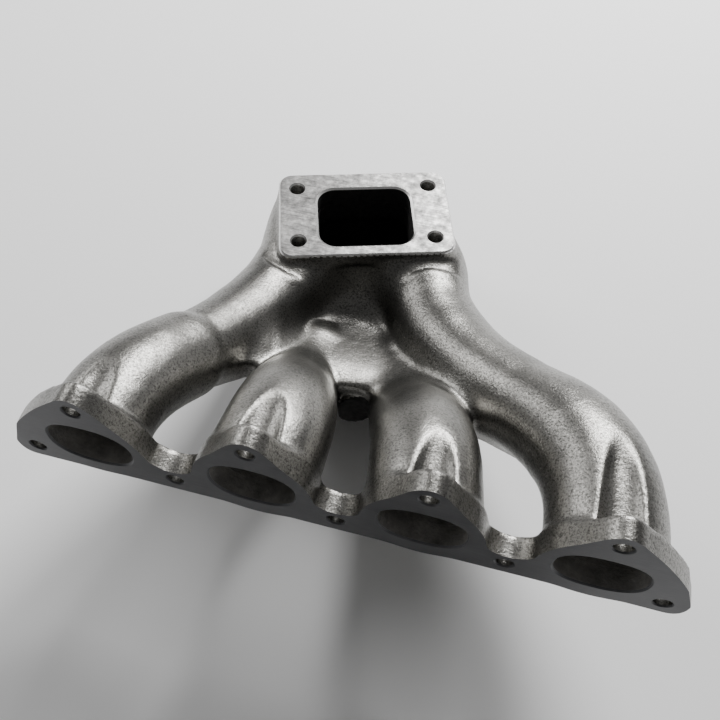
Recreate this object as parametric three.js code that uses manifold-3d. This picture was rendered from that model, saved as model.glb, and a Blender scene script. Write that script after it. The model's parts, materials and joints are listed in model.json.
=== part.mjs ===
// Cast exhaust manifold for a four-cylinder engine with a rectangular four-bolt turbocharger flange.
// Millimetres. X runs along the cylinder head, Y points away from it and Z points up.
// The origin is on the head face, halfway along it, on the rim below the middle stud hole.
// Heights in this file are measured from the centres of the ports, and the last lines raise the whole model
// so that they are measured from the origin.
// The real manifold is one casting. Each mesh here is one named section of it, parted by hairline gaps.

import * as THREE from 'three';
import { ConvexGeometry } from 'three/addons/geometries/ConvexGeometry.js';
import { mergeVertices } from 'three/addons/utils/BufferGeometryUtils.js';
import Module from 'manifold-3d';

const wasm = await Module();
wasm.setup();

// ---- Driving dimensions ----

const GAP = 0.3; // hairline gap between neighbouring sections
const PORT_LINE = 25; // height of the port centres above the origin
const PORT_PITCH = 90; // spacing of the cylinder head's exhaust ports
const PORT_WIDTH = 46.5;
const PORT_HEIGHT = 36.5;
const RUNNER_RADII = [28, 30, 30, 30]; // outside of the runner tubes
const BRANCH_RADIUS = 27; // outside of the tubes that lead to the collector
const ELBOW_BORE = 24.5;
const BRANCH_BORE = 22.3;
const WALL = 5; // wall of the collector and the neck

const HEAD_FLANGE = {
  thickness: 13,
  length: 366,
  bottom: -29,
  upperHoleZ: 36,
  lowerHoleZ: -17,
  endHoleX: 170.5,
  holeRadius: 4.75,
  lobe: { top: 47, shoulder: [9.35, 41.5], flank: [27, 17], foot: [33, -2] }, // from the port's centre
  endLobe: { flank: [29, 24], foot: [40, 6] }, // the outer side of the two end lobes
  dipZ: -8,
  endRound: 8,
};
const SOCKET_RADIUS = 14; // room for a socket around each upper stud
const SOCKET_REACH = 90;
const DRILL_SIDES = 16;
const BORE_STEPS = 16; // pieces along a gas passage

const TURBO_FLANGE = {
  centre: new THREE.Vector3(-43.9, 240.4, -39), // centre of the bolt pattern, on the face
  yaw: THREE.MathUtils.degToRad(17.8),
  thickness: 12,
  length: 122.5,
  width: 80.5,
  cornerRadius: 12,
  boltLength: 96.8,
  boltWidth: 50.8,
  holeRadius: 5.1,
  openingLength: 68,
  openingWidth: 55,
  openingOffset: -3.5, // the opening sits a little nearer to the engine than the bolts do
  openingRadius: 13,
};

// Centre line of each gas passage: from the port, level, and then down into the collector.
const port = (number) => (number - 2.5) * PORT_PITCH;
const bezier = (...points) => new THREE.CubicBezierCurve3(...points.map((point) => new THREE.Vector3(...point)));
const PATHS = [
  bezier([port(1), 0, 0], [port(1) - 6, 74, 0], [-109, 79, -53], [-86, 208, -79]),
  bezier([port(2), 0, 0], [port(2) + 8, 80, 0], [-63, 66, -74], [-54, 142, -94]),
  bezier([port(3), 0, 0], [port(3) - 11, 83, 0], [31, 67, -77], [16, 145, -94]),
  bezier([port(4), 0, 0], [port(4) + 8, 124, 0], [50, 87, -65], [1, 211, -83]),
];
const SEAM_1 = 0.5; // where elbow 1 ends on its path
const SEAM_4 = 0.55; // where elbow 4 ends on its path

const iron = (color, roughness) => new THREE.MeshStandardMaterial({ color, roughness, metalness: 0.9 });
const CAST_IRON = iron(0x6f6d68, 0.5);
const MACHINED_DARK = iron(0x5c5c5e, 0.45);
const MACHINED_LIGHT = iron(0xa9a8a4, 0.4);

// ---- Solids ----

function solid(geometry) {
  const bare = geometry.clone();
  bare.deleteAttribute('normal');
  bare.deleteAttribute('uv');
  const merged = mergeVertices(bare, 1e-4);
  const vertProperties = new Float32Array(merged.attributes.position.array);
  const triVerts = new Uint32Array(merged.index.array);
  return new wasm.Manifold(new wasm.Mesh({ numProp: 3, vertProperties, triVerts }));
}

function join(solids) {
  return solids.reduce((sum, next) => sum.add(next));
}

function cut(body, ...tools) {
  return tools.reduce((rest, tool) => rest.subtract(tool), body);
}

function section(name, body, material) {
  const cutMesh = body.getMesh();
  const geometry = new THREE.BufferGeometry();
  geometry.setAttribute('position', new THREE.BufferAttribute(cutMesh.vertProperties, 3));
  geometry.setIndex(new THREE.BufferAttribute(cutMesh.triVerts, 1));
  geometry.computeVertexNormals();
  const mesh = new THREE.Mesh(geometry, material);
  mesh.name = name;
  return mesh;
}

function ellipse(halfX, halfY) {
  return new THREE.Shape().absellipse(0, 0, halfX, halfY, 0, Math.PI * 2);
}

function roundedRectangle(length, width, radius) {
  const x = length / 2;
  const y = width / 2;
  const shape = new THREE.Shape();
  shape.absarc(x - radius, y - radius, radius, 0, Math.PI / 2);
  shape.absarc(radius - x, y - radius, radius, Math.PI / 2, Math.PI);
  shape.absarc(radius - x, radius - y, radius, Math.PI, Math.PI * 1.5);
  shape.absarc(x - radius, radius - y, radius, Math.PI * 1.5, Math.PI * 2);
  return shape;
}

// A section that is halfHeight tall and halfWidth wide where the path leaves the port.
function sweep(path, halfWidth, halfHeight, steps = 15) {
  const options = { steps, curveSegments: 10, bevelEnabled: false, extrudePath: path };
  return solid(new THREE.ExtrudeGeometry(ellipse(halfHeight, halfWidth), options));
}

// A large block that holds everything past one point of a path.
function beyond(path, at, shift = 0) {
  const size = 400;
  const block = new THREE.BoxGeometry(size, size, size);
  const direction = path.getTangentAt(at);
  block.translate(0, 0, size / 2 + shift);
  block.applyQuaternion(new THREE.Quaternion().setFromUnitVectors(new THREE.Vector3(0, 0, 1), direction));
  block.translate(...path.getPointAt(at).toArray());
  return solid(block);
}

function hull(points) {
  return solid(new ConvexGeometry(points));
}

// ---- Head flange ----

// Upright outline in X and Z: a straight lower edge, and a rounded lobe over each port.
function headFlangeShape() {
  const { length, bottom, lobe, endLobe, dipZ, endRound } = HEAD_FLANGE;
  const end = length / 2;
  const shape = new THREE.Shape();
  shape.moveTo(-end + endRound, bottom);
  shape.lineTo(end - endRound, bottom);
  shape.quadraticCurveTo(end + 1, bottom, end, bottom + 2 * endRound);
  for (const number of [4, 3, 2, 1]) {
    const x = port(number);
    const right = number === 4 ? endLobe : lobe;
    const left = number === 1 ? endLobe : lobe;
    const [shoulderX, shoulderZ] = lobe.shoulder;
    shape.lineTo(x + right.foot[0], right.foot[1]);
    shape.quadraticCurveTo(x + right.flank[0], right.flank[1], x + shoulderX, shoulderZ);
    shape.quadraticCurveTo(x, 2 * lobe.top - shoulderZ, x - shoulderX, shoulderZ);
    shape.quadraticCurveTo(x - left.flank[0], left.flank[1], x - left.foot[0], left.foot[1]);
    if (number > 1) {
      const next = port(number - 1) + lobe.foot[0];
      shape.quadraticCurveTo(x - PORT_PITCH / 2, 2 * dipZ - lobe.foot[1], next, lobe.foot[1]);
    }
  }
  shape.lineTo(-end, bottom + 2 * endRound);
  shape.quadraticCurveTo(-end - 1, bottom, -end + endRound, bottom);
  return shape;
}

// A shape drawn in X and Z, moved along X and extruded along Y.
function alongY(shape, y0, y1, x, curveSegments) {
  const geometry = new THREE.ExtrudeGeometry(shape, { depth: y1 - y0, bevelEnabled: false, curveSegments });
  geometry.rotateX(Math.PI / 2);
  geometry.translate(x, y1, 0);
  return solid(geometry);
}

function studHoles(radius, y0, y1, places) {
  return places.map(([x, z]) => {
    const drill = new THREE.CylinderGeometry(radius, radius, y1 - y0, DRILL_SIDES);
    drill.rotateY(Math.PI / DRILL_SIDES);
    drill.translate(x, (y0 + y1) / 2, z);
    return solid(drill);
  });
}

const UPPER_STUDS = [1, 2, 3, 4].map((number) => [port(number), HEAD_FLANGE.upperHoleZ]);
const LOWER_STUDS = [-HEAD_FLANGE.endHoleX, -PORT_PITCH, 0, PORT_PITCH, HEAD_FLANGE.endHoleX].map((x) => [
  x,
  HEAD_FLANGE.lowerHoleZ,
]);

function headFlange() {
  const { thickness, holeRadius } = HEAD_FLANGE;
  const plate = alongY(headFlangeShape(), 0, thickness, 0, 8);
  const mouth = ellipse(PORT_WIDTH / 2, PORT_HEIGHT / 2);
  const ports = [1, 2, 3, 4].map((number) => alongY(mouth, -1, thickness + 1, port(number), 10));
  const holes = studHoles(holeRadius, -1, thickness + 1, [...UPPER_STUDS, ...LOWER_STUDS]);
  return cut(plate, ...ports, ...holes);
}

// ---- Turbo flange, neck and collector ----

// Places a solid drawn around the turbo flange's centre.
function turboPlaced(geometry) {
  geometry.rotateZ(TURBO_FLANGE.yaw);
  geometry.translate(...TURBO_FLANGE.centre.toArray());
  return geometry;
}

function turboBlock(shape, top, bottom) {
  const geometry = new THREE.ExtrudeGeometry(shape, { depth: top - bottom, bevelEnabled: false, curveSegments: 5 });
  geometry.translate(0, 0, bottom);
  return solid(turboPlaced(geometry));
}

// Points of a rounded rectangle around the turbo flange's centre, at a depth below its face.
function turboRing(length, width, radius, depth, offset = 0) {
  const outline = roundedRectangle(length, width, radius).getPoints(3);
  const points = outline.map((point) => new THREE.Vector3(point.x, point.y + offset, -depth));
  return points.map((point) => {
    return point.applyAxisAngle(new THREE.Vector3(0, 0, 1), TURBO_FLANGE.yaw).add(TURBO_FLANGE.centre);
  });
}

function turboFlange() {
  const { thickness, length, width, cornerRadius, boltLength, boltWidth, holeRadius } = TURBO_FLANGE;
  const plate = turboBlock(roundedRectangle(length, width, cornerRadius), 0, -thickness);
  const holes = [-1, 1].flatMap((sideX) => {
    return [-1, 1].map((sideY) => {
      const drill = new THREE.CylinderGeometry(holeRadius, holeRadius, 2 * thickness + 2, 16);
      drill.rotateX(Math.PI / 2);
      drill.translate((sideX * boltLength) / 2, (sideY * boltWidth) / 2, 0);
      return solid(turboPlaced(drill));
    });
  });
  return cut(plate, turboInlet(), ...holes);
}

// The room that the turbo flange takes, with the hairline gap around it.
function turboFlangeRoom() {
  const { thickness, length, width, cornerRadius } = TURBO_FLANGE;
  return turboBlock(roundedRectangle(length + 2 * GAP, width + 2 * GAP, cornerRadius), 20, -thickness - GAP);
}

// The hollow under the turbo flange's opening widens down to the floor of the collector's chamber.
const INLET_FOOT = { spreadLength: 36, spreadWidth: 8, depth: 66 };

function turboInlet() {
  const { openingLength, openingWidth, openingRadius, openingOffset } = TURBO_FLANGE;
  const mouth = turboRing(openingLength, openingWidth, openingRadius, -1, openingOffset);
  const { spreadLength, spreadWidth, depth } = INLET_FOOT;
  const foot = turboRing(openingLength + spreadLength, openingWidth + spreadWidth, openingRadius, depth, openingOffset);
  return hull([...mouth, ...foot]);
}

// The neck widens a little from the turbo flange down to the collector's roof.
const NECK_FOOT = { length: TURBO_FLANGE.length + 10, width: TURBO_FLANGE.width + 4, round: 24, depth: 43 };

function neckOutside(grow = 0) {
  const { thickness, length, width, cornerRadius } = TURBO_FLANGE;
  const { round, depth } = NECK_FOOT;
  const top = turboRing(length - 3 + grow, width - 3 + grow, cornerRadius, thickness + GAP - grow);
  const foot = turboRing(NECK_FOOT.length + grow, NECK_FOOT.width + grow, round, depth - GAP + grow);
  return hull([...top, ...foot]);
}

// Collector: a wide, shallow chamber in front of and below the neck.
// Its roof falls from the front edge towards the neck, and its floor drops behind the front edge.
const COLLECTOR_DEPTH = 81; // of the floor, below the turbo flange's face
const COLLECTOR_MIDDLE = [-16, 160, -92];
const COLLECTOR_FRONT = [
  [-72, 100, -60],
  [40, 100, -60],
  [-62, 103, -97],
  [34, 103, -97],
  [-84, 145, -122],
  [52, 145, -122],
];

function collectorShell(inset) {
  const front = COLLECTOR_FRONT.map((corner) => {
    const moved = corner.map((value, axis) => value - Math.sign(value - COLLECTOR_MIDDLE[axis]) * inset);
    return new THREE.Vector3(...moved);
  });
  const { length, width, round, depth } = NECK_FOOT;
  const roof = turboRing(length - 2 * inset, width - 2 * inset, round, depth + inset);
  const floor = turboRing(length - 26 - 2 * inset, width - 24 - 2 * inset, round - 4, COLLECTOR_DEPTH - inset);
  return hull([...front, ...roof, ...floor]);
}

// ---- Webs ----

// A rib from the collector's front corner out to the elbow beside it.
const WEB_1_2 = [
  [-60, 99, -60],
  [-112, 86, -60],
  [-112, 130, -60],
  [-80, 165, -68],
  [-66, 104, -84],
  [-112, 92, -72],
  [-108, 128, -72],
  [-84, 160, -82],
];
const WEB_3_4 = [
  [36, 96, -58],
  [86, 90, -56],
  [76, 140, -62],
  [40, 160, -70],
  [36, 104, -84],
  [84, 98, -74],
  [70, 140, -80],
  [44, 150, -84],
];

function web(corners, ...clear) {
  const rib = hull(corners.map((corner) => new THREE.Vector3(...corner)));
  return cut(rib, ...clear, collectorEdge);
}

// ---- Runners ----

// The gas passage starts as the port's oval and opens out to a round bore in the bend.
function bore(path, radius) {
  const inBend = (start) => new THREE.CatmullRomCurve3(path.getPoints(BORE_STEPS).slice(start));
  return join([
    sweep(path, PORT_WIDTH / 2, PORT_HEIGHT / 2),
    sweep(inBend(2), radius - 0.4, (radius + PORT_HEIGHT / 2) / 2 - 0.4, BORE_STEPS - 2),
    sweep(inBend(4), radius, radius, BORE_STEPS - 4),
  ]);
}

const outsides = PATHS.map((path, index) => sweep(path, RUNNER_RADII[index], RUNNER_RADII[index]));
const clearances = PATHS.map((path, index) => sweep(path, RUNNER_RADII[index] + GAP, RUNNER_RADII[index] + GAP));
const bores = PATHS.map((path, index) => bore(path, index === 0 || index === 3 ? BRANCH_BORE : ELBOW_BORE));

const headSide = solid(new THREE.BoxGeometry(500, 2 * (HEAD_FLANGE.thickness + GAP), 200));
const sockets = studHoles(SOCKET_RADIUS, 0, SOCKET_REACH, UPPER_STUDS);
const collectorEdge = collectorShell(-GAP);
const neckEdge = neckOutside(2 * GAP);
const inlet = turboInlet();
const flangeRoom = turboFlangeRoom();

function runnerTube(index) {
  return cut(outsides[index], bores[index], headSide, sockets[index], collectorEdge);
}

function elbow(index, seam) {
  return cut(runnerTube(index), beyond(PATHS[index], seam), neckEdge);
}

function branch(index, seam) {
  const tube = cut(sweep(PATHS[index], BRANCH_RADIUS, BRANCH_RADIUS), bores[index], collectorEdge, neckEdge, flangeRoom);
  return tube.intersect(beyond(PATHS[index], seam, GAP));
}

const collector = cut(collectorShell(0), collectorShell(WALL), inlet, ...bores);
const neck = cut(neckOutside(), inlet, collectorEdge, bores[0], bores[3]);

const manifold = new THREE.Group();
manifold.add(
  section('head_flange', headFlange(), MACHINED_DARK),
  section('runner_1_elbow', elbow(0, SEAM_1), CAST_IRON),
  section('runner_1_branch', branch(0, SEAM_1), CAST_IRON),
  section('runner_2', cut(runnerTube(1), neckEdge, clearances[0]), CAST_IRON),
  section('runner_3', cut(runnerTube(2), neckEdge, clearances[3]), CAST_IRON),
  section('runner_4_elbow', elbow(3, SEAM_4), CAST_IRON),
  section('runner_4_branch', branch(3, SEAM_4), CAST_IRON),
  section('collector', collector, CAST_IRON),
  section('neck', neck, CAST_IRON),
  section('turbo_flange', turboFlange(), MACHINED_LIGHT),
  section('web_1_2', web(WEB_1_2, clearances[0], clearances[1]), CAST_IRON),
  section('web_3_4', web(WEB_3_4, clearances[2], clearances[3]), CAST_IRON),
);

manifold.position.z = PORT_LINE;

export default manifold;
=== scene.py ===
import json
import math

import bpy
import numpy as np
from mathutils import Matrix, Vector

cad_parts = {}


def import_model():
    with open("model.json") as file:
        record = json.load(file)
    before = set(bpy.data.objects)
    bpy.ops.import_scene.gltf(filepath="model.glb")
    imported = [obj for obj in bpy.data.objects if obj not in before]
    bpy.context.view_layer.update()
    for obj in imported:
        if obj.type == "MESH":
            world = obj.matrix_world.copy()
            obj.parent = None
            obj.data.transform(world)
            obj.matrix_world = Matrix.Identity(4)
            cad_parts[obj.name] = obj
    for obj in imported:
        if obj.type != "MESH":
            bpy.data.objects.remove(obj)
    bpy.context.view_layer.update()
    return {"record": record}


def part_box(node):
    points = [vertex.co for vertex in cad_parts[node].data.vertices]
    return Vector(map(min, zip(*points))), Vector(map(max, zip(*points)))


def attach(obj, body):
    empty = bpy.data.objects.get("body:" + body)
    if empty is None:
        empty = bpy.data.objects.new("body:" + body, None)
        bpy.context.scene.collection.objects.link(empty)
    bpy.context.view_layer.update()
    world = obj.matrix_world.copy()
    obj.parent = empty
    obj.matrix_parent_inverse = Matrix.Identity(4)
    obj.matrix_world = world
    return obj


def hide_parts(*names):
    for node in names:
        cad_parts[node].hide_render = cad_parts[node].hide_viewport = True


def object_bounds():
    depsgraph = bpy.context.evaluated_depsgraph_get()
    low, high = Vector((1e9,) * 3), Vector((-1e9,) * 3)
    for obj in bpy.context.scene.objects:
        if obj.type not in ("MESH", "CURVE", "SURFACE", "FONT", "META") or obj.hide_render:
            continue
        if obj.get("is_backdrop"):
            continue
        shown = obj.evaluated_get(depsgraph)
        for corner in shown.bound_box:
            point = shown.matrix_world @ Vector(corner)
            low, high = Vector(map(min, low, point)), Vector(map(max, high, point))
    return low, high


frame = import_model()

# Looks of a cast exhaust manifold. The casting is shaped as one signed distance field, meshed, machined
# with booleans and then divided into the frame's named sections, which meet without gaps.
# Lengths are in millimetres and heights are measured from the centres of the ports, until place() turns
# them into the frame's metres.

import openvdb
from mathutils import Matrix, Vector

MM = 0.001
CELL = 1.4  # spacing of the distance field
FAR = 60.0  # distance given to places that no shape comes near
ALLOWANCE = 0.6  # how much smaller than its finished size each opening is cast

mounts = {mount["name"]: mount for mount in frame["record"]["mounts"]}


def node_box(node):
    low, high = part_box(node)
    return np.array(low) / MM, np.array(high) / MM


# ---- Driving dimensions ----

PORT_PITCH = 90
PORT_X = [(number - 2.5) * PORT_PITCH for number in (1, 2, 3, 4)]
PORT_HALF = (23.25, 18.25)

FLANGE_BACK = node_box("head_flange")[1][1]
FLANGE_END = node_box("head_flange")[1][0]
FLANGE_BOTTOM = -29
PORT_LINE = node_box("head_flange")[0][2] - FLANGE_BOTTOM  # height of the port centres in the frame
LOBE_TOP = 47
DIP = -8  # top of the flange halfway between two ports
UPPER_HOLE_Z = 36
LOWER_HOLE_Z = -17
LOWER_HOLE_X = [-170.5, -90, 0, 90, 170.5]
STUD_HOLE_RADIUS = 4.75
SOCKET_RADIUS = 13.5  # room for a nut behind each upper stud hole
STUD_BEVEL = 0.8
PORT_BEVEL = 1.0

TURBO_FACE = mounts["turbo_face"]["pos_m"][2] / MM - PORT_LINE
TURBO_UNDERSIDE = node_box("turbo_flange")[0][2] - PORT_LINE
TURBO_CENTRE = np.array([-43.9, 240.4])
TURBO_YAW = math.radians(17.8)
TURBO_HALF = (62, 40.25)
TURBO_CORNER = 10
TURBO_BOLTS = (48.4, 25.4)
TURBO_HOLE_RADIUS = 5.1
OPENING_HALF = (34, 27.5)
OPENING_OFFSET = -3.5
OPENING_CORNER = 13
OPENING_BEVEL = 1.4
HOLE_BEVEL = 0.9
THREAD_PITCH = 1.5
THREAD_DEPTH = 0.5
EDGE_BEVEL = 1.2  # on the turbo flange's outer edge

# Each runner's centre line, from its port to the collector, as the four control points of a Bezier curve.
PATHS = [
    [(-135, 0, 0), (-141, 74, 0), (-109, 79, -53), (-86, 208, -79)],
    [(-45, 0, 0), (-37, 80, 0), (-63, 66, -74), (-54, 142, -94)],
    [(45, 0, 0), (34, 83, 0), (31, 67, -77), (16, 145, -94)],
    [(135, 0, 0), (143, 124, 0), (50, 87, -65), (7, 220, -79)],
]
BORE_RADIUS = [21, 24, 24, 22.5]
SEAM_1 = 0.5  # where elbow 1 ends on its path
SEAM_4 = 0.55
COLLECTOR_FRONT = 101
NECK_FOOT = -82
ROOF_FRONT = -59  # height of the collector's roof at its front edge
TONGUE_FRONT = -139  # across the turbo flange, from its centre
TONGUE_CENTRE = (-14, -84)  # along the turbo flange, and in height
TONGUE_TOP = -66


# ---- The distance field's grid ----

LOW = np.array([-192.0, -9.0, -134.0])
HIGH = np.array([192.0, 308.0, 56.0])
COUNT = np.ceil((HIGH - LOW) / CELL).astype(int) + 1
AXES = [(LOW[axis] + CELL * np.arange(COUNT[axis])).astype(np.float32) for axis in range(3)]
X = AXES[0][:, None, None]
Y = AXES[1][None, :, None]
Z = AXES[2][None, None, :]


def turbo_coordinates(x, y):
    """Distances along and across the turbo flange, from the centre of its bolts."""
    x = x - TURBO_CENTRE[0]
    y = y - TURBO_CENTRE[1]
    along = x * math.cos(TURBO_YAW) + y * math.sin(TURBO_YAW)
    across = y * math.cos(TURBO_YAW) - x * math.sin(TURBO_YAW)
    return along, across


U, V = turbo_coordinates(X, Y)


# ---- Ways to make and combine distances ----

def blend_join(first, second, softness):
    """Union whose inner corner is rounded over about softness mm."""
    mix = np.clip(0.5 + 0.5 * (second - first) / softness, 0, 1)
    return second + (first - second) * mix - softness * mix * (1 - mix)


def blend_meet(first, second, softness):
    """Intersection whose edge is rounded over about softness mm."""
    return -blend_join(-first, -second, softness)


def ease(share):
    """Share from 0 to 1 with a gentle start and end."""
    return share * share * (3 - 2 * share)


def slab(coordinate, low, high):
    """Distance to the space between two parallel planes."""
    return np.abs(coordinate - (low + high) / 2) - (high - low) / 2


def rounded_rectangle(a, b, half_a, half_b, corner):
    over_a = np.abs(a) - (half_a - corner)
    over_b = np.abs(b) - (half_b - corner)
    outside = np.sqrt(np.maximum(over_a, 0) ** 2 + np.maximum(over_b, 0) ** 2)
    return outside + np.minimum(np.maximum(over_a, over_b), 0) - corner


def oval(a, b, half_a, half_b):
    """Distance, roughly, to a fat oval."""
    return ((np.abs(a / half_a) ** 2.4 + np.abs(b / half_b) ** 2.4) ** (1 / 2.4) - 1) * half_b


def bezier(points, t):
    """Points at the shares t of a cubic curve."""
    a, b, c, d = (np.array(point, float) for point in points)
    t = np.asarray(t, float)[..., None]
    return (1 - t) ** 3 * a + 3 * (1 - t) ** 2 * t * b + 3 * (1 - t) * t * t * c + t**3 * d


def balls(centres, radii):
    """Distance to a chain of balls laid close enough together to make a smooth tube."""
    field = np.full(COUNT, FAR, np.float32)
    for centre, radius in zip(centres, radii):
        reach = radius + 26
        first = np.maximum(((centre - reach - LOW) / CELL).astype(int), 0)
        last = np.minimum(((centre + reach - LOW) / CELL).astype(int) + 2, COUNT)
        near = tuple(slice(a, b) for a, b in zip(first, last))
        squared = (X[near[0]] - centre[0]) ** 2 + (Y[:, near[1]] - centre[1]) ** 2
        squared = squared + (Z[:, :, near[2]] - centre[2]) ** 2
        np.minimum(field[near], np.sqrt(squared) - radius, out=field[near])
    return field


def tube(path, stations, count=64):
    """Tube along a path. Stations are pairs of a place on the path and the radius there."""
    places, radii = zip(*stations)
    t = np.linspace(places[0], places[-1], count)
    return balls(bezier(path, t), np.interp(t, places, radii))


def bar(start, end, radius_start, radius_end, count=24):
    """Straight tube between two points."""
    share = np.linspace(0, 1, count)[:, None]
    centres = np.array(start) * (1 - share) + np.array(end) * share
    return balls(centres, np.linspace(radius_start, radius_end, count))


def waviness(spacing, height, seed):
    """Gentle random undulation, with one bump or hollow every spacing mm or so."""
    random = np.random.default_rng(seed)
    knots = np.ceil((HIGH - LOW) / spacing).astype(int) + 2
    values = random.normal(0, height, knots)
    for axis in range(3):
        where = (AXES[axis] - LOW[axis]) / spacing
        index = where.astype(int)
        share = where - index
        share = ease(share).reshape([-1 if a == axis else 1 for a in range(3)])
        values = np.take(values, index, axis) * (1 - share) + np.take(values, index + 1, axis) * share
    return values.astype(np.float32)


# ---- The casting ----

def curve(start, control, end, steps=8):
    """Points of a quadratic curve, without its end."""
    t = np.linspace(0, 1, steps, endpoint=False)[:, None]
    return (1 - t) ** 2 * np.array(start) + 2 * t * (1 - t) * np.array(control) + t * t * np.array(end)


LOBE = {"shoulder": (9.35, 41.5), "flank": (27, 17), "foot": (33, -2)}
END_LOBE = {"shoulder": (9.35, 41.5), "flank": (29, 24), "foot": (40, 6)}


def head_flange_outline():
    """Corners of the flange in X and Z, clockwise from the lower left."""
    end_round = {
        "foot": (FLANGE_END - 8, FLANGE_BOTTOM),
        "corner": (FLANGE_END + 1, FLANGE_BOTTOM),
        "top": (FLANGE_END, -13),
    }
    mirrored = {name: (-x, z) for name, (x, z) in end_round.items()}
    corners = [curve(mirrored["foot"], mirrored["corner"], mirrored["top"])]
    for index, x in enumerate(PORT_X):
        left = END_LOBE if index == 0 else LOBE
        right = END_LOBE if index == 3 else LOBE
        left = {name: (x - place[0], place[1]) for name, place in left.items()}
        right = {name: (x + place[0], place[1]) for name, place in right.items()}
        corners.append(curve(left["foot"], left["flank"], left["shoulder"]))
        corners.append(curve(left["shoulder"], (x, 2 * LOBE_TOP - left["shoulder"][1]), right["shoulder"]))
        corners.append(curve(right["shoulder"], right["flank"], right["foot"]))
        if index < 3:
            dip = (x + PORT_PITCH / 2, 2 * DIP - LOBE["foot"][1])
            corners.append(curve(right["foot"], dip, (x + PORT_PITCH - LOBE["foot"][0], LOBE["foot"][1])))
        else:
            corners.append([right["foot"]])
    corners.append(curve(end_round["top"], end_round["corner"], end_round["foot"]))
    corners.append([end_round["foot"]])
    return np.concatenate(corners)


def outline_distance(a, b, outline):
    """Distance from each point of a plane to a closed outline, negative inside it."""
    nearest = np.full(np.broadcast(a, b).shape, np.inf)
    inside = np.zeros(nearest.shape, bool)
    for (a0, b0), (a1, b1) in zip(outline, np.roll(outline, -1, axis=0)):
        along_a, along_b = a1 - a0, b1 - b0
        share = np.clip(((a - a0) * along_a + (b - b0) * along_b) / (along_a**2 + along_b**2), 0, 1)
        nearest = np.minimum(nearest, (a - a0 - share * along_a) ** 2 + (b - b0 - share * along_b) ** 2)
        if b0 != b1:
            inside ^= ((b0 > b) != (b1 > b)) & (a < a0 + (b - b0) / along_b * along_a)
    return (np.where(inside, -1, 1) * np.sqrt(nearest)).astype(np.float32)


def head_flange():
    flat = outline_distance(AXES[0][:, None], AXES[2][None, :], head_flange_outline())[:, None, :]
    return blend_meet(flat, slab(Y, -20, FLANGE_BACK), 2.0)


def turbo_flange():
    bevel = np.maximum(Z - (TURBO_FACE - EDGE_BEVEL), 0)
    plate = rounded_rectangle(U, V, TURBO_HALF[0], TURBO_HALF[1], TURBO_CORNER) + bevel
    return blend_meet(plate, slab(Z, TURBO_UNDERSIDE + 2, TURBO_FACE + 12), 2.5)


def neck():
    """Block below the turbo flange. Its front flares forward as it falls to the collector's roof."""
    depth = np.clip((TURBO_UNDERSIDE - Z) / 30, 0, 1.3)
    front = -38 - 20 * depth**2
    back = 38 + 3 * depth
    half_length = 58.5 + 5 * depth
    corner = 12 + 22 * depth
    section = rounded_rectangle(U, V - (front + back) / 2, half_length, (back - front) / 2, corner)
    return blend_meet(section, slab(Z, -116, TURBO_FACE - 6), 8)


def roof_height():
    """Height of the collector's roof: it falls backwards and rises towards the elbows on both sides."""
    fall = np.clip((Y - 112) / 65, 0, 1)
    left_rise = np.clip((-52 - X) / 32, 0, 1)
    right_rise = np.clip((X - 42) / 30, 0, 1)
    return ROOF_FRONT - 21 * ease(fall) + 16 * ease(left_rise) + 13 * ease(right_rise)


def collector():
    """Wide, low chamber under the roof. Its floor drops behind the front edge."""
    along = np.clip((Y - 100) / 90, 0, 1)
    left = -74 - 22 * along
    right = 42 - 2 * along
    roof = roof_height()
    floor = -80 - 40 * np.clip((Y - 104) / 36, 0, 1)
    middle_x, middle_z = (left + right) / 2, (roof + floor) / 2
    across = rounded_rectangle(X - middle_x, Z - middle_z, right - middle_x, roof - middle_z, 9)
    below_neck = blend_meet(U - 60, V - 37, 20)
    return blend_meet(blend_meet(across, below_neck, 8), slab(Y, COLLECTOR_FRONT + 6, 300), 4)


def tongue():
    """Round-bottomed boss below the roof's lip between runners 2 and 3, parallel to the turbo flange."""
    boss = rounded_rectangle(U - TONGUE_CENTRE[0], Z - TONGUE_CENTRE[1], 11.5, 15.5, 11)
    above_top = Z - TONGUE_TOP
    lip = rounded_rectangle(V + 128, Z + 78, 11.5 - 0.5 * np.maximum(above_top, 0), 14.5, 2)
    face = slab(V, TONGUE_FRONT, -100)
    return np.maximum(blend_meet(boss, face, 1.5), np.minimum(lip, above_top))


# Plan of the shelf that carries the collector's roof out to the elbows on both sides, in X and Y.
SHELF_PLAN = [
    (-124, 70), (-110, 83), (-100, 91), (-88, 97), (-60, 97), (-26, 106), (-6, 111.5), (20, 115),
    (62, 98), (96, 84), (96, 110), (60, 150), (0, 200), (-80, 200), (-110, 150), (-126, 110),
]
SHELF_THICKNESS = 19


def shelf():
    plan = outline_distance(AXES[0][:, None], AXES[1][None, :], np.array(SHELF_PLAN))[:, :, None]
    roof = roof_height()
    return blend_meet(plan, slab(Z, roof - SHELF_THICKNESS, roof), 4)


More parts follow.
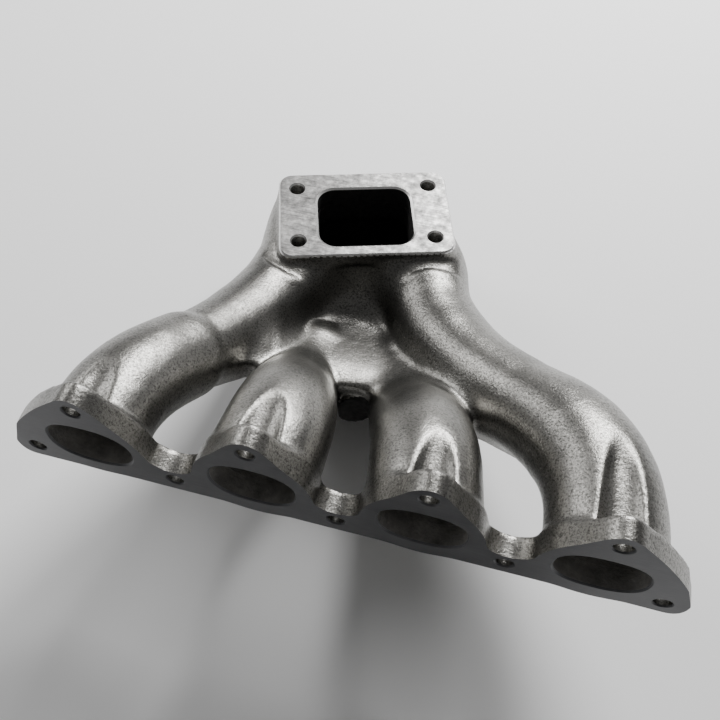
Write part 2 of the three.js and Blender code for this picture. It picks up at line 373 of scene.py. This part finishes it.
def casting_outside():
    """The whole casting, filled. What is joined later meets the rest in a crisper crease."""
    branch_1 = tube(PATHS[0], [(SEAM_1 - 0.1, 24), (SEAM_1, 24.5), (0.7, 26), (0.9, 28.5), (1, 30)])
    branch_1 = np.minimum(branch_1, bar(PATHS[0][3], (-80, 240, -81), 30, 36))
    runner_4 = tube(PATHS[3], [(0, 31), (0.3, 31), (0.5, 28.2), (0.6, 29), (0.8, 31), (1, 30)])
    body = blend_join(neck(), branch_1, 30)
    body = blend_join(body, runner_4, 34)
    beside_plate = np.maximum(TURBO_FACE - 4 - Z, rounded_rectangle(U, V, 68, 46, 16))
    body = blend_meet(body, -beside_plate, 12)
    body = blend_join(body, tube(PATHS[2], [(0, 30.9), (1, 29)]), 14)
    body = blend_join(body, blend_join(collector(), shelf(), 3), 10)
    body = blend_join(body, tongue(), 1)
    body = blend_join(body, turbo_flange(), 5)
    body = blend_join(body, tube(PATHS[0], [(0, 28), (SEAM_1, 27.6)]), 2)
    body = blend_join(body, tube(PATHS[1], [(0, 31.3), (1, 28)]), 3)
    body = blend_join(body, head_flange(), 5)
    for x in PORT_X:
        around = np.sqrt((X - x) ** 2 + (Z - UPPER_HOLE_Z) ** 2) - SOCKET_RADIUS
        socket = np.maximum(around, slab(Y, FLANGE_BACK - 0.5, 95))
        body = blend_meet(body, -socket, 1.8)
    return body + waviness(14, 0.14, 5) + waviness(5, 0.05, 6)


def hollow():
    """The gas passages, the collector's chamber and the way up to the turbocharger."""
    chamber = blend_meet(rounded_rectangle(U, V + 3, 52, 32, 18), slab(Z, -112, -74), 8)
    half_u, half_v = (half - ALLOWANCE for half in OPENING_HALF)
    inlet = rounded_rectangle(U, V - OPENING_OFFSET, half_u, half_v, OPENING_CORNER)
    inside = blend_join(chamber, np.maximum(inlet, slab(Z, -90, TURBO_FACE + 20)), 6)
    for index, path in enumerate(PATHS):
        inside = np.minimum(inside, tube(path, [(0.3, BORE_RADIUS[index] - 3), (1, BORE_RADIUS[index])]))
        line = bezier(path, np.linspace(0, 0.45, 40))
        off_x = X - np.interp(Y, line[:, 1], line[:, 0])
        off_z = Z - np.interp(Y, line[:, 1], line[:, 2])
        mouth = oval(off_x, off_z, PORT_HALF[0] - ALLOWANCE, PORT_HALF[1] - ALLOWANCE)
        inside = blend_join(inside, blend_meet(mouth, slab(Y, -20, line[-1, 1] - 8), 6), 6)
    return inside


# ---- Meshes ----

def place(points):
    """Points in the frame's metres."""
    return (np.array(points) + (0, 0, PORT_LINE)) * MM


def add(name, points, faces):
    """New mesh object in the scene."""
    data = bpy.data.meshes.new(name)
    data.from_pydata(place(points).tolist(), [], [list(map(int, face)) for face in faces])
    data.update()
    piece = bpy.data.objects.new(name, data)
    bpy.context.scene.collection.objects.link(piece)
    return piece


def contour(name, field):
    """Mesh of the surface where a distance field is zero."""
    grid = openvdb.FloatGrid(3 * CELL)
    grid.copyFromArray(np.clip(field, -3 * CELL, 3 * CELL).astype(np.float32))
    points, quads = grid.convertToQuads(isovalue=0.0)
    return add(name, points * CELL + LOW, quads)


def loft(name, rings):
    """Closed mesh through equal rings of points, with a flat cap at each end."""
    count = len(rings[0])
    faces = [list(range(count))[::-1]]
    for ring in range(len(rings) - 1):
        for a in range(count):
            b = (a + 1) % count
            base, above = ring * count, (ring + 1) * count
            faces.append([base + a, base + b, above + b, above + a])
    faces.append([(len(rings) - 1) * count + a for a in range(count)])
    return add(name, np.concatenate(rings), faces)


def boolean(piece, tool, operation, keep_tool=False):
    modifier = piece.modifiers.new("boolean", "BOOLEAN")
    modifier.object = tool
    modifier.operation = operation
    modifier.solver = "MANIFOLD"
    evaluated = piece.evaluated_get(bpy.context.evaluated_depsgraph_get())
    data = bpy.data.meshes.new_from_object(evaluated)
    piece.modifiers.clear()
    piece.data = data
    if not keep_tool:
        bpy.data.objects.remove(tool)
    return piece


# ---- Machining ----

ANGLES = np.linspace(0, 2 * math.pi, 48, endpoint=False)


def port_cutter(x):
    """The port's mouth with a small chamfer at the face."""
    def ring(y, grow):
        power = 2 / 2.4
        across = np.sign(np.cos(ANGLES)) * np.abs(np.cos(ANGLES)) ** power * (PORT_HALF[0] + grow)
        up = np.sign(np.sin(ANGLES)) * np.abs(np.sin(ANGLES)) ** power * (PORT_HALF[1] + grow)
        return np.stack([x + across, np.full_like(up, y), up], 1)
    return loft("port", [ring(12, 0), ring(PORT_BEVEL, 0), ring(0, PORT_BEVEL), ring(-20, PORT_BEVEL)])


def stud_cutter(x, z):
    """Clearance hole through the head flange, chamfered at the face."""
    def ring(y, radius):
        across = x + radius * np.cos(ANGLES)
        up = z + radius * np.sin(ANGLES)
        return np.stack([across, np.full_like(ANGLES, y), up], 1)
    narrow = STUD_HOLE_RADIUS
    wide = STUD_HOLE_RADIUS + STUD_BEVEL
    rings = [ring(FLANGE_BACK + 6, narrow), ring(STUD_BEVEL, narrow), ring(0, wide), ring(-20, wide)]
    return loft("stud", rings)


def turbo_point(u, v, z):
    """Points given along and across the turbo flange, and in height."""
    x = TURBO_CENTRE[0] + u * math.cos(TURBO_YAW) - v * math.sin(TURBO_YAW)
    y = TURBO_CENTRE[1] + u * math.sin(TURBO_YAW) + v * math.cos(TURBO_YAW)
    return np.stack([x, y, np.broadcast_to(z, np.shape(x))], -1)


def turbo_hole_cutter(side_u, side_v):
    """Threaded hole: a chamfer and then a groove for each pitch."""
    def ring(z, radius):
        u = side_u * TURBO_BOLTS[0] + radius * np.cos(ANGLES)
        v = side_v * TURBO_BOLTS[1] + radius * np.sin(ANGLES)
        return turbo_point(u, v, z)
    rings = []
    for step in range(31):
        radius = TURBO_HOLE_RADIUS - THREAD_DEPTH * (step % 2)
        rings.append(ring(TURBO_FACE - 24 + THREAD_PITCH / 2 * step, radius))
    wide = TURBO_HOLE_RADIUS + HOLE_BEVEL
    rings += [ring(TURBO_FACE, wide), ring(TURBO_FACE + 20, wide)]
    return loft("turbo_hole", rings)


def turbo_opening_cutter():
    def ring(z, grow):
        quarter = np.linspace(0, math.pi / 2, 10)
        corner = OPENING_CORNER + grow
        reach_u = OPENING_HALF[0] + grow - corner
        reach_v = OPENING_HALF[1] + grow - corner
        points = []
        for turn, (side_u, side_v) in enumerate([(1, 1), (-1, 1), (-1, -1), (1, -1)]):
            angle = quarter + turn * math.pi / 2
            u = side_u * reach_u + corner * np.cos(angle)
            v = side_v * reach_v + corner * np.sin(angle) + OPENING_OFFSET
            points.append(turbo_point(u, v, z))
        return np.concatenate(points)
    rings = [ring(TURBO_FACE - 14, 0), ring(TURBO_FACE - EDGE_BEVEL, 0)]
    rings += [ring(TURBO_FACE, OPENING_BEVEL), ring(TURBO_FACE + 20, OPENING_BEVEL)]
    return loft("opening", rings)


def block(low, high):
    """Box between two opposite corners."""
    (x0, y0, z0), (x1, y1, z1) = low, high
    ring = [(x0, y0), (x1, y0), (x1, y1), (x0, y1)]
    return loft("block", [np.array([(x, y, z) for x, y in ring]) for z in (z0, z1)])


def turbo_block(half_u, half_v, low, high):
    """Box that stands square to the turbo flange."""
    u = np.array([-half_u, half_u, half_u, -half_u])
    v = np.array([-half_v, -half_v, half_v, half_v])
    return loft("block", [turbo_point(u, v, low), turbo_point(u, v, high)])


def half_space(point, direction, size=300):
    """Large block that holds everything behind a point, looking along direction."""
    forward = Vector(direction).normalized()
    side = forward.cross(Vector((0, 0, 1))).normalized()
    up = side.cross(forward)
    corners = [(-1, -1), (1, -1), (1, 1), (-1, 1)]
    front = [Vector(point) + size * (a * side + b * up) for a, b in corners]
    rings = [[corner - size * forward for corner in front], front]
    return loft("half", [np.array(ring)[::-1] for ring in rings])


inside_distance = hollow()
casting = contour("casting", np.maximum(casting_outside(), -inside_distance))
boolean(casting, block((-250, -60, -200), (250, 0, 200)), "DIFFERENCE")
boolean(casting, turbo_block(75, 50, TURBO_FACE, 200), "DIFFERENCE")
for port_x in PORT_X:
    boolean(casting, port_cutter(port_x), "DIFFERENCE")
    boolean(casting, stud_cutter(port_x, UPPER_HOLE_Z), "DIFFERENCE")
for hole_x in LOWER_HOLE_X:
    boolean(casting, stud_cutter(hole_x, LOWER_HOLE_Z), "DIFFERENCE")
boolean(casting, turbo_opening_cutter(), "DIFFERENCE")
for side_u, side_v in [(-1, -1), (1, -1), (1, 1), (-1, 1)]:
    boolean(casting, turbo_hole_cutter(side_u, side_v), "DIFFERENCE")


# ---- Materials ----

class Nodes:
    """Builds one material's node tree in the object's own coordinates."""

    def __init__(self, name):
        self.material = bpy.data.materials.new(name)
        self.material.use_nodes = True
        self.tree = self.material.node_tree
        self.shader = self.tree.nodes["Principled BSDF"]
        self.coordinates = self.tree.nodes.new("ShaderNodeTexCoord").outputs["Object"]

    def link(self, source, target):
        self.tree.links.new(source, target)

    def noise(self, size, detail=2.0, roughness=0.5, stretch=(1, 1, 1), turn=0.0):
        """Noise with features of about size millimetres, made longer where stretch is below 1."""
        mapping = self.tree.nodes.new("ShaderNodeMapping")
        mapping.inputs["Scale"].default_value = stretch
        mapping.inputs["Rotation"].default_value = (0, 0, turn)
        texture = self.tree.nodes.new("ShaderNodeTexNoise")
        texture.inputs["Scale"].default_value = 1 / (size * MM)
        texture.inputs["Detail"].default_value = detail
        texture.inputs["Roughness"].default_value = roughness
        self.link(self.coordinates, mapping.inputs["Vector"])
        self.link(mapping.outputs["Vector"], texture.inputs["Vector"])
        return texture.outputs["Fac"]

    def ramp(self, value, stops):
        """Color that follows a value through stops, which are pairs of a place from 0 to 1 and a color."""
        node = self.tree.nodes.new("ShaderNodeValToRGB")
        elements = node.color_ramp.elements
        while len(elements) < len(stops):
            elements.new(0.5)
        for element, (place_on_ramp, color) in zip(elements, stops):
            element.position = place_on_ramp
            element.color = (*color, 1)
        self.link(value, node.inputs["Fac"])
        return node.outputs["Color"]

    def span(self, value, low, high, to_low, to_high):
        """The value with low to high stretched over to_low to to_high."""
        node = self.tree.nodes.new("ShaderNodeMapRange")
        node.inputs["From Min"].default_value = low
        node.inputs["From Max"].default_value = high
        node.inputs["To Min"].default_value = to_low
        node.inputs["To Max"].default_value = to_high
        self.link(value, node.inputs["Value"])
        return node.outputs["Result"]

    def mix(self, kind, amount, first, second):
        node = self.tree.nodes.new("ShaderNodeMix")
        node.data_type = "RGBA"
        node.blend_type = kind
        node.inputs["Factor"].default_value = amount
        self.link(first, node.inputs["A"])
        self.link(second, node.inputs["B"])
        return node.outputs["Result"]

    def bump(self, layers):
        """Layers are heights, strengths and depths in millimetres, coarse ones first."""
        normal = None
        for height, strength, depth in layers:
            node = self.tree.nodes.new("ShaderNodeBump")
            node.inputs["Strength"].default_value = strength
            node.inputs["Distance"].default_value = depth * MM
            self.link(height, node.inputs["Height"])
            if normal is not None:
                self.link(normal, node.inputs["Normal"])
            normal = node.outputs["Normal"]
        self.link(normal, self.shader.inputs["Normal"])

    def finish(self, color, roughness, metallic):
        self.link(color, self.shader.inputs["Base Color"])
        self.link(roughness, self.shader.inputs["Roughness"])
        self.shader.inputs["Metallic"].default_value = metallic
        return self.material


def cast_iron():
    """Shot-blasted casting: fine bright grain, small pits and slow patches of tone."""
    nodes = Nodes("shot_blasted_iron")
    grain = nodes.noise(1.3, 3, 0.7)
    peen = nodes.noise(3.4, 2, 0.5)
    patch = nodes.noise(38, 3, 0.55)
    tone = nodes.ramp(patch, [(0.3, (0.20, 0.196, 0.184)), (0.7, (0.33, 0.322, 0.302))])
    speck = nodes.ramp(grain, [(0.36, (0.18, 0.18, 0.18)), (0.5, (0.8, 0.8, 0.8)), (0.62, (1, 1, 1))])
    nodes.bump([(peen, 0.3, 0.4), (grain, 0.7, 0.3)])
    return nodes.finish(nodes.mix("MULTIPLY", 0.8, tone, speck), nodes.span(grain, 0.3, 0.7, 0.4, 0.26), 1.0)


def raw_bore():
    """Rough, dark casting skin inside the passages."""
    nodes = Nodes("raw_bore_iron")
    grain = nodes.noise(1.6, 3, 0.6)
    patch = nodes.noise(14, 3, 0.6)
    tone = nodes.ramp(patch, [(0.3, (0.17, 0.165, 0.155)), (0.7, (0.42, 0.405, 0.385))])
    nodes.bump([(patch, 0.4, 1.0), (grain, 0.7, 0.6)])
    return nodes.finish(tone, nodes.span(grain, 0.3, 0.7, 0.7, 0.5), 0.6)


def head_face():
    """Ground face: dark grey, with fine marks along the flange. Its tone is darkened further as painted
    shade for a face turned away from the light.
    """
    nodes = Nodes("ground_head_face")
    marks = nodes.noise(0.7, 2, 0.5, stretch=(0.06, 1, 1))
    patch = nodes.noise(22, 4, 0.6)
    grain = nodes.noise(0.9, 2, 0.6)
    # painted shade: the very dark tone stands for the shade on the face turned from the light
    tone = nodes.ramp(patch, [(0.3, (0.06, 0.061, 0.064)), (0.7, (0.12, 0.12, 0.124))])
    scratch = nodes.ramp(marks, [(0.35, (0.75, 0.75, 0.75)), (0.65, (1, 1, 1))])
    tone = nodes.mix("MULTIPLY", 0.7, tone, scratch)
    nodes.bump([(marks, 0.15, 0.05), (grain, 0.2, 0.05)])
    return nodes.finish(tone, nodes.span(patch, 0.3, 0.7, 0.42, 0.55), 0.75)


def turbo_face():
    """Milled face: light grey, mottled, with crossing scratches."""
    nodes = Nodes("milled_turbo_face")
    mottle = nodes.noise(6, 5, 0.7)
    patch = nodes.noise(26, 3, 0.5)
    marks = nodes.noise(1.1, 3, 0.6, stretch=(0.07, 1, 1), turn=math.radians(35))
    cross = nodes.noise(1.4, 3, 0.6, stretch=(1, 0.08, 1), turn=math.radians(-20))
    dark, middle, light = (0.12, 0.118, 0.115), (0.25, 0.246, 0.24), (0.45, 0.443, 0.43)
    tone = nodes.ramp(mottle, [(0.32, dark), (0.5, middle), (0.68, light)])
    cloud = nodes.ramp(patch, [(0.35, (0.8, 0.8, 0.8)), (0.65, (1, 1, 1))])
    scratch = nodes.ramp(marks, [(0.35, (0.45, 0.45, 0.45)), (0.52, (1, 1, 1))])
    tone = nodes.mix("MULTIPLY", 0.8, tone, cloud)
    tone = nodes.mix("MULTIPLY", 0.7, tone, scratch)
    nodes.bump([(marks, 0.2, 0.06), (cross, 0.2, 0.05)])
    return nodes.finish(tone, nodes.span(mottle, 0.3, 0.7, 0.5, 0.36), 0.9)


def bright_edge():
    """Freshly cut bevels round the turbo flange's face, its opening and its holes: bright cut metal,
    lightened further by a painted highlight along these edges.
    """
    nodes = Nodes("cut_edge_painted_highlight")
    grain = nodes.noise(0.8, 2, 0.6)
    # painted highlight: the near-white tone stands for the light caught along the bevels
    tone = nodes.ramp(grain, [(0.3, (0.7, 0.695, 0.685)), (0.7, (0.95, 0.94, 0.92))])
    nodes.bump([(grain, 0.3, 0.08)])
    return nodes.finish(tone, nodes.span(grain, 0.3, 0.7, 0.4, 0.28), 1.0)


def black_painted_shade_material():
    """Near-black painted shade below the collector's lip and inside the turbo inlet, where these recesses
    lie in shadow.
    """
    nodes = Nodes("black_painted_shade")
    patch = nodes.noise(4, 3, 0.6)
    tone = nodes.ramp(patch, [(0.3, (0.006, 0.006, 0.006)), (0.7, (0.02, 0.019, 0.018))])
    nodes.bump([(patch, 0.4, 0.5)])
    return nodes.finish(tone, nodes.span(patch, 0.3, 0.7, 0.9, 0.7), 0.0)


MATERIALS = {
    "cast": cast_iron(),
    "bore": raw_bore(),
    "head": head_face(),
    "turbo": turbo_face(),
    "edge": bright_edge(),
    # near-black painted shade for shadowed recesses
    "painted_shade": black_painted_shade_material(),
}
ORDER = list(MATERIALS)


def finishes(centres, normals):
    """Number in ORDER of each face's finish, from its middle and its direction."""
    u, v = turbo_coordinates(centres[:, 0], centres[:, 1])
    on_turbo = (np.abs(u) < TURBO_HALF[0] + 1) & (np.abs(v) < TURBO_HALF[1] + 1)
    depth_from_turbo = np.where(on_turbo, TURBO_FACE - centres[:, 2], FAR)
    turbo_bevel = (depth_from_turbo < EDGE_BEVEL + 0.3) & (normals[:, 2] > 0.3)
    cut_by_head = (centres[:, 1] < 0.02) | ((centres[:, 1] < 1) & (np.abs(normals[:, 1]) > 0.5))
    tongue_front = (v < TONGUE_FRONT + 2) & (np.abs(u - TONGUE_CENTRE[0]) < 17) & (centres[:, 1] > 95)
    # painted shade: the boss's front below the lip lies in shadow and gets the near-black material
    painted_shade_below_lip = tongue_front & (centres[:, 2] < TONGUE_TOP - 1)
    index = tuple(((centres - LOW) / CELL + 0.5).astype(int).T)
    passage = inside_distance[index] < 1.6
    tests = {
        "head": cut_by_head,
        "turbo": depth_from_turbo < 0.02,
        # painted highlight on the turbo flange's bevels
        "edge": turbo_bevel,
        # near-black painted shade under the lip and inside the turbo inlet
        "painted_shade": painted_shade_below_lip | (passage & on_turbo),
        "bore": passage,
    }
    return np.select(list(tests.values()), [ORDER.index(name) for name in tests], ORDER.index("cast"))


# ---- Sections ----

LEFT_SEAM = -78  # X of the cuts between neighbouring runners
MIDDLE_SEAM = -16
RIGHT_SEAM = 66


def path_direction(path, t):
    """Which way a path runs at t, not of unit length."""
    return bezier(path, t + 0.01) - bezier(path, t - 0.01)


def elbow_block(index, seam):
    """Everything on the port's side of an elbow's seam."""
    return half_space(bezier(PATHS[index], seam), path_direction(PATHS[index], seam))


def section_blocks():
    """Each section's node and the block that cuts it off what is left of the casting."""
    yield "head_flange", block((-250, -60, -200), (250, FLANGE_BACK, 200))
    yield "turbo_flange", turbo_block(64, 43, TURBO_UNDERSIDE, 200)
    yield "neck", turbo_block(70, 47, NECK_FOOT, 200)
    yield "web_1_2", block((-100, 84, -130), (-78, 140, -62))
    yield "web_3_4", block((56, 84, -130), (90, 140, -60))
    beside_port_1 = block((-250, -50, -200), (LEFT_SEAM, 200, 200))
    yield "runner_1_elbow", boolean(elbow_block(0, SEAM_1), beside_port_1, "INTERSECT")
    yield "runner_1_branch", block((-250, -50, -200), (LEFT_SEAM, 400, 200))
    beside_port_4 = block((RIGHT_SEAM, -50, -200), (250, 200, 200))
    yield "runner_4_elbow", boolean(elbow_block(3, SEAM_4), beside_port_4, "INTERSECT")
    above_collector = block((-100, 60, -84), (250, 400, 200))
    right_of_neck = half_space((-20, 190, -40), (-0.78, -0.62, 0))
    yield "runner_4_branch", boolean(right_of_neck, above_collector, "INTERSECT")
    yield "runner_2", block((LEFT_SEAM, -50, -200), (MIDDLE_SEAM, COLLECTOR_FRONT, 200))
    yield "runner_3", block((MIDDLE_SEAM, -50, -200), (100, COLLECTOR_FRONT, 200))
    yield "collector", block((-250, -50, -300), (250, 400, 200))


def finish_section(node, piece):
    """Gives a section its name, finishes and place in the frame."""
    piece.name = "cast_" + node
    data = piece.data
    data.materials.clear()
    for material in MATERIALS.values():
        data.materials.append(material)
    centres, normals = np.empty((2, len(data.polygons), 3), np.float32)
    data.polygons.foreach_get("center", centres.ravel())
    data.polygons.foreach_get("normal", normals.ravel())
    data.polygons.foreach_set("material_index", finishes(centres / MM - (0, 0, PORT_LINE), normals))
    data.polygons.foreach_set("use_smooth", np.ones(len(centres), bool))
    data.set_sharp_from_angle(angle=math.radians(32))
    slots = {"head_flange": "head_face_iron", "turbo_flange": "turbo_face_iron"}
    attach(piece, "root")
    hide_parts(node)
    slots.get(node, "cast_body_iron")


rest = casting
for node, cutter in section_blocks():
    piece = bpy.data.objects.new(node, rest.data.copy())
    bpy.context.scene.collection.objects.link(piece)
    boolean(piece, cutter, "INTERSECT", keep_tool=True)
    if node != "collector":
        boolean(rest, cutter, "DIFFERENCE")
    else:
        bpy.data.objects.remove(cutter)
    finish_section(node, piece)
bpy.data.objects.remove(rest)


# ---- Stage ----

def aim(thing, target, roll=0.0):
    direction = Vector(target) - thing.location
    turn = direction.to_track_quat("-Z", "Y").to_matrix().to_4x4() @ Matrix.Rotation(roll, 4, "Z")
    thing.matrix_world = Matrix.Translation(thing.location) @ turn


def camera():
    data = bpy.data.cameras.new("camera")
    data.sensor_width = 36
    data.lens = 39.29
    viewer = bpy.data.objects.new("camera", data)
    bpy.context.scene.collection.objects.link(viewer)
    viewer.location = Vector(place((41.5, -151.1, 376.6)))
    aim(viewer, Vector(place((-8, 79.7, 17.1))), math.radians(2.69))
    bpy.context.scene.camera = viewer


def area_light(name, where, target, size, power):
    data = bpy.data.lights.new(name, "AREA")
    data.shape = "RECTANGLE"
    data.size, data.size_y = size
    data.energy = power
    lamp = bpy.data.objects.new(name, data)
    bpy.context.scene.collection.objects.link(lamp)
    lamp.location = Vector(where)
    aim(lamp, target)


def floor():
    """Pale plane 1 mm below the casting."""
    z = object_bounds()[0][2] / MM - PORT_LINE - 1
    half = 4000
    corners = [(-half, -half), (half, -half), (half, half), (-half, half)]
    ground = add("floor", [(x, y, z) for x, y in corners], [(0, 1, 2, 3)])
    material = bpy.data.materials.new("floor")
    material.use_nodes = True
    shader = material.node_tree.nodes["Principled BSDF"]
    shader.inputs["Base Color"].default_value = (0.9, 0.9, 0.9, 1)
    shader.inputs["Roughness"].default_value = 0.9
    ground.data.materials.append(material)
    ground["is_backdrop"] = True


def world():
    sky = bpy.data.worlds.new("world")
    sky.use_nodes = True
    sky.node_tree.nodes["Background"].inputs["Color"].default_value = (1, 1, 1, 1)
    sky.node_tree.nodes["Background"].inputs["Strength"].default_value = 0.14
    bpy.context.scene.world = sky


camera()
world()
floor()
area_light("key", (0.25, 1.25, 0.95), (0, 0.12, 0), (0.9, 0.7), 46)
area_light("side", (-1.1, 0.7, 0.7), (0, 0.1, 0), (0.5, 0.7), 7)
